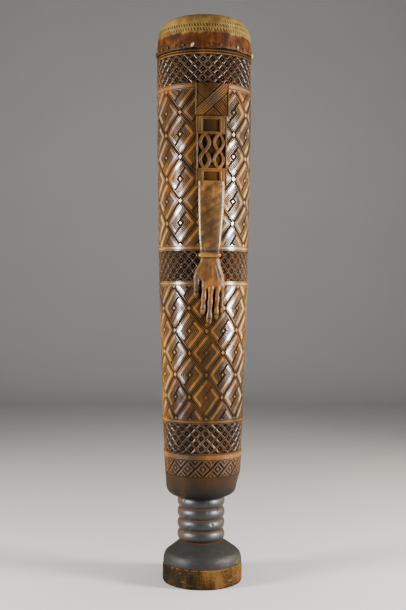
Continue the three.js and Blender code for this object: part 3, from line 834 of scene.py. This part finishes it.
def makeArm():
    s = armSizes
    flatter = ("forearm", "bracelet", "hand", "shadeSheet", "thumbShadeSheet")
    parts = [limb(name, sunk(s[name]), 36, s["squareness"].get(name, 4)) for name in flatter]
    parts.append(limb("thumbBase", sunk(s["thumbBase"]), 28, 2.6))
    parts += [finger(name, *sizes) for name, sizes in s["fingers"].items()]
    makeActive(parts[0])
    for part in parts:
        part.select_set(True)
    bpy.ops.object.join()
    arm = bpy.context.object
    arm.name = arm.data.name = "arm"
    modify(arm, "REMESH", mode="VOXEL", voxel_size=s["voxel"] * mm)
    modify(arm, "SMOOTH", factor=0.5, iterations=5)
    points = pointsOf(arm) / mm
    x, out, z = points[:, 0], -points[:, 1], points[:, 2]
    outward = smoothstep(3, 9, out)
    # painted shade: the arm darkens close to the drum, so the sheets between the fingers go near black, and in
    # bands at the cut rings
    relief = smoothstep(2.2, 6.5, out)
    for ringZ, spread in s["rings"]:
        relief = relief * (1 - 0.75 * bell(z - ringZ, spread))
    # tendons fan from the wrist to the knuckles, nails lie in thin grooves, skin folds cross the joints;
    # painted shade darkens the nail grooves and the folds
    for across, lean, root, tip, half, height in list(s["fingers"].values())[1:]:
        line = np.interp(z, [root - 4, 684], [across, across * 0.35 - 1])
        tendon = bell(x - line, 1.9) * smoothstep(636, 646, z) * smoothstep(690, 672, z)
        out = out + s["tendon"] * tendon * outward
    for across, lean, root, tip, half, height in s["fingers"].values():
        length = root - tip
        nailX, nailZ = across + lean * 0.93, tip + 7.2
        reach = np.sqrt(((x - nailX) / (half * 0.66)) ** 2 + ((z - nailZ) / 5.2) ** 2)
        rim = bell(reach - 1.12, 0.16)
        out = out + (s["nailRise"] * smoothstep(1.0, 0.75, reach) - s["nailRim"] * rim) * outward
        relief = relief * (1 - 0.9 * rim * outward)
        for share in (0.49, 0.54):
            fold = bell(z - (root - length * share), 0.7) * (np.abs(x - across - lean * share) < half)
            out = out - s["fold"] * fold * outward
            relief = relief * (1 - 0.35 * fold * outward)
    out = out + unevenness(points, 14, 21) * 0.25 * outward
    setPoints(arm, np.stack([x, -out, z], -1) * mm)
    # the sides facing left and right are painted gold and the flats brown: rubbing wear, and painted light
    # from the side lamps
    facing = np.empty(3 * len(z))
    arm.data.vertex_normals.foreach_get("vector", facing)
    edge = smoothstep(0.15, 0.6, 1 + facing.reshape(-1, 3)[:, 1])
    isHand = smoothstep(694, 684, z)
    # the bracelet is painted gold as a highlight
    ring = smoothstep(689.5, 691, z) * smoothstep(698, 696.5, z)
    mottled = unevenness(points, 17, 51) * 0.3 + unevenness(points, 6, 52) * 0.14
    shade = 0.32 - 0.3 * isHand - 0.6 * edge - 0.6 * ring + mottled * (1 - ring)
    paint(arm, relief=relief, plain=0.15 - 0.4 * isHand, shade=shade, dull=0.25 + 0.33 * isHand)
    bendRoundDrum(arm)
    finishWood(arm, 40)


makeArm()


# A carved panel: a fine grid pushed out to the height that the carving has there
def panel(name, s, heightAt):
    deselectAll()
    wide, high = s["right"] - s["left"], s["top"] - s["bottom"]
    across, tall = round(wide / s["pitch"]), round(high / s["pitch"])
    bpy.ops.mesh.primitive_grid_add(x_subdivisions=across, y_subdivisions=tall, size=1,
                                    rotation=(math.pi / 2, 0, 0))
    piece = bpy.context.object
    piece.name = piece.data.name = name
    bpy.ops.object.transform_apply(rotation=True)
    spots = pointsOf(piece)
    x = s["left"] + (spots[:, 0] + 0.5) * wide
    z = s["bottom"] + (spots[:, 2] + 0.5) * high
    edge = insideBox(x, z, s["left"], s["right"], s["bottom"], s["top"])
    height = heightAt(x, z) - 1.4 * np.clip(1 - edge / 1.2, 0, 1) ** 2
    rough = np.stack([x, 0 * x, z], -1)
    height = height + unevenness(rough, 9, 31) * 0.14 + unevenness(rough, 40, 32) * 0.35
    setPoints(piece, np.stack([x, -height, z], -1) * mm)
    makeActive(piece)
    # painted shade: the low parts, cell floors and line bottoms, are darkened through relief
    paint(piece, relief=0.25 + 0.75 * smoothstep(*s["lowToHigh"], height), plain=-0.4, shade=0.22, dull=0.8)
    editAll()
    bpy.ops.mesh.region_to_loop()
    bpy.ops.mesh.extrude_region_move(TRANSFORM_OT_translate={"value": (0, 0, 0)})
    bpy.ops.transform.resize(value=(1, 0, 1), center_override=(0, armSizes["depthInWood"] * mm, 0))
    bpy.ops.mesh.edge_face_add()
    endEdit()
    bendRoundDrum(piece)
    finishWood(piece, 35)


# How far inside a box a point lies, less than 0 outside
def insideBox(x, z, left, right, bottom, top):
    return np.minimum(np.minimum(x - left, right - x), np.minimum(z - bottom, top - z))


cuffSizes = {
    "left": -33, "right": 34, "bottom": 981, "top": 1047, "height": 8, "pitch": 0.5, "lowToHigh": (5.8, 7.8),
    "half": 9.6, "linePitch": 3.84, "lineDepth": 1.3, "edgeCut": 0.6, "sideRib": 2.6,
}


# Two lined strips that cross, with nested lines in the corners between them
def cuffHeight(x, z):
    s = cuffSizes
    x0, z0 = (s["left"] + s["right"]) / 2 + 0.5, (s["bottom"] + s["top"]) / 2 - 1
    rising = ((x - x0) - (z - z0)) / math.sqrt(2)
    falling = ((x - x0) + (z - z0)) / math.sqrt(2)
    fromRising, fromFalling = np.abs(rising) - s["half"], np.abs(falling) - s["half"]
    over, under = fromRising < 0, (fromFalling < 0) & (fromRising >= 0)
    distance = np.where(over, rising, np.where(under, falling, np.minimum(fromRising, fromFalling)))
    wave = 0.5 - 0.5 * np.cos(2 * math.pi * distance / s["linePitch"])
    height = s["height"] - 0.6 - s["lineDepth"] * wave ** 1.5 + 0.9 * over
    height -= 1.5 * bell(fromRising, s["edgeCut"]) + 1.2 * bell(fromFalling, s["edgeCut"]) * (fromRising > 0)
    side = np.minimum(x - s["left"], s["right"] - x)
    height = np.where(side < s["sideRib"], s["height"] + 0.9 - np.maximum(side - 1.8, 0), height)
    return height - 0.8 * bell(side - s["sideRib"] - 0.6, s["edgeCut"])


panel("cuffPanel", cuffSizes, cuffHeight)

sleeveSizes = {
    "left": -31, "right": 30, "bottom": 836, "top": 979, "height": 7.2, "pitch": 0.66, "lowToHigh": (3, 7),
    "floor": 3, "strandMiddles": (-14.2, 13.8), "swing": 9.2, "strandHalf": 3.6, "sideRib": 2.2,
    "topCell": (-19, 17, 947, 973), "strandCell": (-27.5, 27, 872, 943), "bottomCell": (-17, 17, 846, 866),
    # middle, half width at the foot, bottom and height of the small triangle between the strands
    "triangle": (-0.5, 3.6, 884, 12),
}


def sleeveHeight(x, z):
    s = sleeveSizes
    deep = s["height"] - s["floor"]
    height = np.full(len(x), float(s["height"]))
    for cell in ("topCell", "strandCell", "bottomCell"):
        inside = insideBox(x, z, *s[cell])
        height = np.where(inside > 0, s["height"] - deep * smoothstep(0, 1.6, inside), height)
        height += 0.5 * bell(inside + 1.1, 0.8)
        height -= 0.5 * bell(inside + 3.0, 0.6)
    bottom, top = s["strandCell"][2:]
    share = (z - bottom) / (top - bottom)
    shown = smoothstep(-0.02, 0.0, share) * smoothstep(1.02, 1.0, share)
    turn = 2 * math.pi * share
    # two pairs of strands, each pair twisted together
    for middle in s["strandMiddles"]:
        for sign in (-1, 1):
            slope = s["swing"] * 2 * math.pi / (top - bottom) * np.cos(turn)
            away = np.abs(x - (middle + sign * s["swing"] * np.sin(turn))) / np.sqrt(1 + slope ** 2)
            body = np.sqrt(np.clip(1 - (away / s["strandHalf"]) ** 2, 0, 1))
            strand = s["floor"] + deep * body ** 0.7 + 0.55 * sign * np.cos(turn) - 0.9 * bell(away, 0.55)
            height = np.where((away < s["strandHalf"]) & (shown > 0.5), np.maximum(height, strand), height)
    middle, half, foot, tall = s["triangle"]
    tip = (z - foot) / tall
    triangle = (np.abs(x - middle) < half - 4.2 * tip) & (tip > 0) & (tip < 1)
    height = np.where(triangle, s["height"] - 0.8, height)
    side = np.minimum(x - s["left"], s["right"] - x)
    height = np.where(side < s["sideRib"], s["height"] + 0.9, height)
    return height - 0.9 * bell(side - 3.0, 0.6)


panel("sleevePanel", sleeveSizes, sleeveHeight)


# The hide: a stiff rawhide cup with a ragged lower edge

hideSizes = {
    "thickness": 2.5,
    "bottom": 1118,
    "sides": 320,
    # height and radius of the collar's outside, and of the shoulder's middle
    "side": ((1118, 102.0), (1119.5, 102.4), (1137, 101.3), (1151, 100.0), (1160, 99.0)),
    "shoulder": (1160, 64),
    "shoulderSize": (37.4, 35),
    "top": 1200,
    "pegHeight": 1126,
    "pegSeat": 101.5,
    "pegs": 32,
    "pegPhase": -47.6,
    "lostPegs": (4, 7, 11),
    "palePegs": (3, 8, 12, 19, 26),
}


def hideProfile():
    s = hideSizes
    thin = s["thickness"]
    z0, r0 = s["shoulder"]
    tall, wide = s["shoulderSize"]
    heightsUp = [s["bottom"]] + list(np.linspace(s["bottom"] + 1.5, z0, 20))
    outer = [(float(np.interp(z, *zip(*s["side"]))), float(z)) for z in heightsUp]
    for t in np.radians(np.linspace(5, 87, 18)):
        outer.append((r0 + wide * math.cos(t) ** 0.95, z0 + tall * math.sin(t) ** 1.02))
    outer += [(r, z0 + tall + 2.6 * (1 - (r / 66) ** 2)) for r in (62, 54, 46, 38, 30, 22, 14, 6)]
    inner = [(6, s["top"] - thin), (30, s["top"] - 1 - thin), (56, z0 + tall + 0.2 - thin)]
    for t in np.radians(np.linspace(84, 0, 8)):
        inner.append((r0 + (wide - thin) * math.cos(t), z0 + (tall - thin) * math.sin(t)))
    inner += [(98.2, 1150), (99.0, 1137), (99.8, s["bottom"] + 4), (100.2, s["bottom"] + 0.5)]
    return inner + outer, len(inner)


def makeHide():
    s = hideSizes
    profile, innerCount = hideProfile()
    hide = turned("rawhideHead", profile, s["sides"])
    outside = np.arange(len(hide.data.vertices)) >= innerCount * s["sides"]
    points = pointsOf(hide)
    radius = np.hypot(points[:, 0], points[:, 1])
    angle = np.degrees(np.arctan2(points[:, 0], -points[:, 1]))
    z = points[:, 2] / mm
    ring = np.stack([np.sin(np.radians(angle)), np.cos(np.radians(angle)), 0 * angle], -1)
    ragged = 1.5 + unevenness(ring, 0.5, 41) * 2.0 + unevenness(ring, 0.12, 42) * 1.2
    low = smoothstep(1140, 1117, z)
    z = z + np.clip(ragged, 0, 4.5) * low
    collar = bell(z - s["pegHeight"], 9) * outside
    between = 0.5 - 0.5 * np.cos(np.radians((angle - s["pegPhase"]) * s["pegs"]))
    puff = collar * (between * 0.9 - 0.5)
    puff = puff + outside * (unevenness(points, 0.022, 43) * 0.25 + unevenness(points, 0.008, 44) * 0.14)
    top = smoothstep(1185, 1199, z)
    z = z + top * unevenness(points, 0.05, 45) * 0.35 * (z > 1196.5)
    scale = 1 + puff * mm / np.maximum(radius, 0.02)
    setPoints(hide, np.stack([points[:, 0] * scale, points[:, 1] * scale, np.minimum(z, s["top"]) * mm], -1))
    # one turn of the drum to each unit across, so that marks follow the collar round
    wrap = hide.data.uv_layers.new(name="wrap")
    corners = np.empty(len(hide.data.loops), dtype=np.int32)
    hide.data.loops.foreach_get("vertex_index", corners)
    turn = angle[corners] / 360
    for face in hide.data.polygons:
        span = slice(face.loop_start, face.loop_start + face.loop_total)
        if np.ptp(turn[span]) > 0.5:
            turn[span] += turn[span] < 0
    wrap.data.foreach_set("uv", np.stack([turn, z[corners] / 1000], -1).ravel().astype(np.float32))
    return hide


hideLook = {
    "pale": (0.17, 0.098, 0.021),
    "paler": (0.27, 0.17, 0.043),
    "tan": (0.10, 0.05, 0.011),
    "rust": (0.11, 0.035, 0.004),
    "red": (0.052, 0.014, 0.0015),
    "redDark": (0.026, 0.0085, 0.0015),
    "dark": (0.018, 0.009, 0.004),
    "collarTop": (1.149, 1.1575),
    "nickRows": (1.1545, 1.1635, 1.1725),
    "nickTall": 0.0085,
}


def rawhide():
    f = Finish("rawhide")
    look = hideLook
    height = f.along("Z")
    wrap = f.node("ShaderNodeUVMap", {"uv_map": "wrap"}).outputs[0]
    turn, climb = f.along("X", wrap), f.along("Y", wrap)
    broad = f.noise(14, 3)
    patch = f.noise(55, 4)
    speck = f.noise(380, 4)
    hair = f.noise(230, 3, (1, 1, 0.07))
    grain = f.noise(900, 2)
    edge = f.between(height + (broad - 0.5) * 0.022 + (patch - 0.5) * 0.012 + (hair - 0.5) * 0.006,
                     *look["collarTop"])
    top = f.ramp(f.limited(patch * 0.9 + (broad - 0.5) * 0.9),
                 [(0.2, look["tan"]), (0.45, look["pale"]), (0.75, look["paler"])])
    top = f.blend(f.between(speck, 0.56, 0.66) * 0.55, top, look["tan"])
    collar = f.ramp(f.limited(hair * 0.6 + (patch - 0.5) * 1.5 + (speck - 0.5) * 0.5 + 0.22),
                    [(0.16, look["dark"]), (0.34, look["redDark"]), (0.56, look["red"]), (0.9, look["rust"])])
    color = f.blend(edge, collar, top)
    # short slanting nicks in staggered rows round the shoulder
    nicks = None
    for row, start in enumerate(look["nickRows"]):
        end = start + look["nickTall"]
        lean = f.maths("FRACT", turn * 103 + climb * 45 + patch * 1.3 + row * 0.5, 0) - 0.5
        line = f.between(f.absolute(lean), 0.30, 0.18)
        mark = line * f.between(climb, start, start + 0.0015) * f.between(climb, end, end - 0.0015)
        if row == 2:  # only on the right
            mark = mark * f.between(turn, 0.04, 0.09)
        nicks = mark if nicks is None else f.maths("MAXIMUM", nicks, mark)
    nicks = nicks * f.between(patch + (broad - 0.5) * 0.3, 0.20, 0.32)
    color = f.blend(nicks * 0.9, color, look["dark"])
    pores = f.between(speck, 0.40, 0.33) * f.between(height, 1.118, 1.13)
    color = f.blend(pores * 0.5, color, look["dark"])
    low = f.between(height + (hair - 0.5) * 0.008, 1.124, 1.117)
    color = f.blend(low * 0.75, color, look["dark"])
    normal = f.bump(hair * (1 - edge), 0.0006, 0.7)
    normal = f.bump(speck + nicks * -0.9, 0.0006, 0.5, normal)
    normal = f.bump(grain, 0.00015, 0.4, normal)
    rough = f.limited(0.62 + (patch - 0.5) * 0.25 - (1 - edge) * 0.08)
    return f.finish({"Base Color": color, "Roughness": rough, "Normal": normal, "Specular IOR Level": 0.12})


finishPiece(makeHide(), ["hide_head"], rawhide(), 50)

# Pegs: little split sticks, each a bit different

pegSizes = {
    "length": 5, "root": 3.3, "tip": 2.5, "sides": 10, "gap": 0.3, "bevel": 0.25,
    # how far each may differ: its split, its outline, its tip, and the pale ones splay more
    "slant": 0.9, "uneven": 0.16, "cutOff": 1.6, "cutAll": 1.2,
    "paleStretch": (0.5, 0.8), "stretch": (-0.2, 0.2),
}
pegLook = {"red": (0.045, 0.014, 0.003), "brown": (0.08, 0.03, 0.007), "pale": (0.36, 0.23, 0.10)}


def pegWood():
    f = Finish("pegWood")
    fibre = f.noise(500, 4)
    color = f.ramp(f.limited(f.attribute("pale") + (fibre - 0.5) * 0.7),
                   [(0.1, pegLook["red"]), (0.45, pegLook["brown"]), (0.85, pegLook["pale"])])
    rough = f.limited(0.6 + (fibre - 0.5) * 0.3)
    return f.finish({"Base Color": color, "Roughness": rough, "Normal": f.bump(fibre, 0.0004, 0.6)})


def makePegs():
    s, p = hideSizes, pegSizes
    material = pegWood()
    draw = np.random.default_rng(7)
    for n in range(s["pegs"]):
        if n in s["lostPegs"]:
            continue
        turn = math.radians(s["pegPhase"] + n * 360 / s["pegs"])
        number = f"{n + 1:02d}"
        deselectAll()
        bpy.ops.mesh.primitive_cone_add(vertices=p["sides"], radius1=p["root"] * mm, radius2=p["tip"] * mm,
                                        depth=p["length"] * mm, end_fill_type="NGON", location=(0, 0, 0))
        peg = bpy.context.object
        peg.name = peg.data.name = "peg_" + number
        editAll()
        bpy.ops.mesh.subdivide(number_cuts=1)
        bpy.ops.object.mode_set(mode="OBJECT")
        points = pointsOf(peg)
        top = smoothstep(0, p["length"] / 2, points[:, 2] / mm)
        uneven = draw.uniform(0.65, 1)
        points *= uneven + draw.uniform(-p["uneven"], p["uneven"], (len(points), 3)) * np.array([1, 1, 0.0])
        slant = draw.uniform(-p["slant"], p["slant"])
        isPale = n in s["palePegs"]
        stretch = draw.uniform(*p["paleStretch" if isPale else "stretch"])
        toSide = np.array([math.sin(slant), math.cos(slant)])
        points[:, :2] += stretch * (points[:, :2] @ toSide)[:, None] * toSide
        cut = draw.uniform(0, p["cutOff"], len(points)) * top
        points[:, 2] -= (cut + top * draw.uniform(0, p["cutAll"])) * mm
        points[:, 2] -= (np.hypot(points[:, 0], points[:, 1]) / (p["tip"] * mm)) ** 2 * 0.5 * mm * top
        setPoints(peg, points)
        paint(peg, pale=draw.uniform(0.75, 1) if isPale else draw.uniform(0, 0.4))
        makeActive(peg)
        modify(peg, "BEVEL", width=p["bevel"] * mm, limit_method="ANGLE")
        middle = s["pegSeat"] + p["gap"] + p["length"] / 2
        peg.rotation_euler = (math.pi / 2, 0, turn)
        peg.location = (middle * mm * math.sin(turn), -middle * mm * math.cos(turn), s["pegHeight"] * mm)
        finishPiece(peg, ["hide_peg_" + number], material, 40)


makePegs()


# Studio: pale floor curving up behind, two tall soft boxes, two weaker ones from behind, a weak overhead light

studioSizes = {"width": 9, "front": -4, "back": 3.4, "bend": 1.6, "height": 5.5}


def makeFloor():
    s = studioSizes
    deselectAll()
    bpy.ops.mesh.primitive_plane_add(size=1, location=(0, (s["front"] + s["back"]) / 2, 0))
    floor = bpy.context.object
    floor.name = "studioFloor"
    floor.scale = (s["width"], s["back"] - s["front"], 1)
    bpy.ops.object.transform_apply(location=True, scale=True)
    editAll()
    bpy.ops.mesh.select_all(action="DESELECT")
    bpy.ops.object.mode_set(mode="OBJECT")
    for edge in floor.data.edges:
        ends = [floor.data.vertices[n].co.y for n in edge.vertices]
        edge.select = min(ends) > s["back"] - 0.01
    bpy.ops.object.mode_set(mode="EDIT")
    bpy.ops.mesh.select_mode(type="EDGE")
    for step in range(1, 13):
        t0, t1 = (math.radians(90 * (step - k) / 12) for k in (1, 0))
        move = (0, s["bend"] * (math.sin(t1) - math.sin(t0)), s["bend"] * (math.cos(t0) - math.cos(t1)))
        bpy.ops.mesh.extrude_edges_move(TRANSFORM_OT_translate={"value": move})
    bpy.ops.mesh.extrude_edges_move(TRANSFORM_OT_translate={"value": (0, 0, s["height"])})
    bpy.ops.object.mode_set(mode="OBJECT")
    bpy.ops.object.shade_smooth()
    f = Finish("studioFloor")
    grey = f.blend(f.noise(2.5, 3), (0.50, 0.49, 0.48), (0.54, 0.53, 0.52))
    floor.data.materials.append(f.finish({"Base Color": grey, "Roughness": 0.85}))


# Degrees round from the front, distance, height, width, tallness, tilt in degrees, watts and colour
warmLight = (1, 0.76, 0.48)
lights = {
    "leftBox": (-65, 1.7, 0.73, 0.36, 0.76, 90, 84, (1, 1, 1)),
    "rightBox": (72, 1.7, 0.73, 0.42, 0.76, 90, 114, (1, 1, 1)),
    "leftRim": (-118, 1.9, 0.76, 1.2, 1.3, 90, 9, warmLight),
    "rightRim": (118, 1.9, 0.76, 1.2, 1.3, 90, 21, warmLight),
    "overheadLight": (0, 0.5, 3.0, 2.4, 2.4, 0, 24, (1, 1, 1)),
}

makeFloor()
for name, (azimuth, distance, z, width, tall, tilt, power, color) in lights.items():
    turn = math.radians(azimuth)
    deselectAll()
    bpy.ops.object.light_add(type="AREA", location=(distance * math.sin(turn), -distance * math.cos(turn), z))
    light = bpy.context.object
    light.name = name
    light.data.shape = "RECTANGLE"
    light.data.size, light.data.size_y = width, tall
    light.data.energy = power
    light.data.color = color
    light.rotation_euler = (math.radians(tilt), 0, turn)
world = bpy.data.worlds.new("studioWorld")
bpy.context.scene.world = world
world.use_nodes = True
world.node_tree.nodes["Background"].inputs["Color"].default_value = (0.9, 0.9, 0.9, 1)
world.node_tree.nodes["Background"].inputs["Strength"].default_value = 0.11

# The photograph's viewpoint: level, in front of the drum, a little above its middle
cameraSizes = {"place": (-0.0006, -2.113, 0.610), "lens": 57.9, "shift": -0.01475, "roll": -0.22}
bpy.ops.object.camera_add(location=cameraSizes["place"],
                          rotation=(math.pi / 2, math.radians(cameraSizes["roll"]), 0))
camera = bpy.context.object
camera.data.sensor_width = 36
camera.data.lens = cameraSizes["lens"]
camera.data.shift_y = cameraSizes["shift"]
bpy.context.scene.camera = camera
print("studio ready")
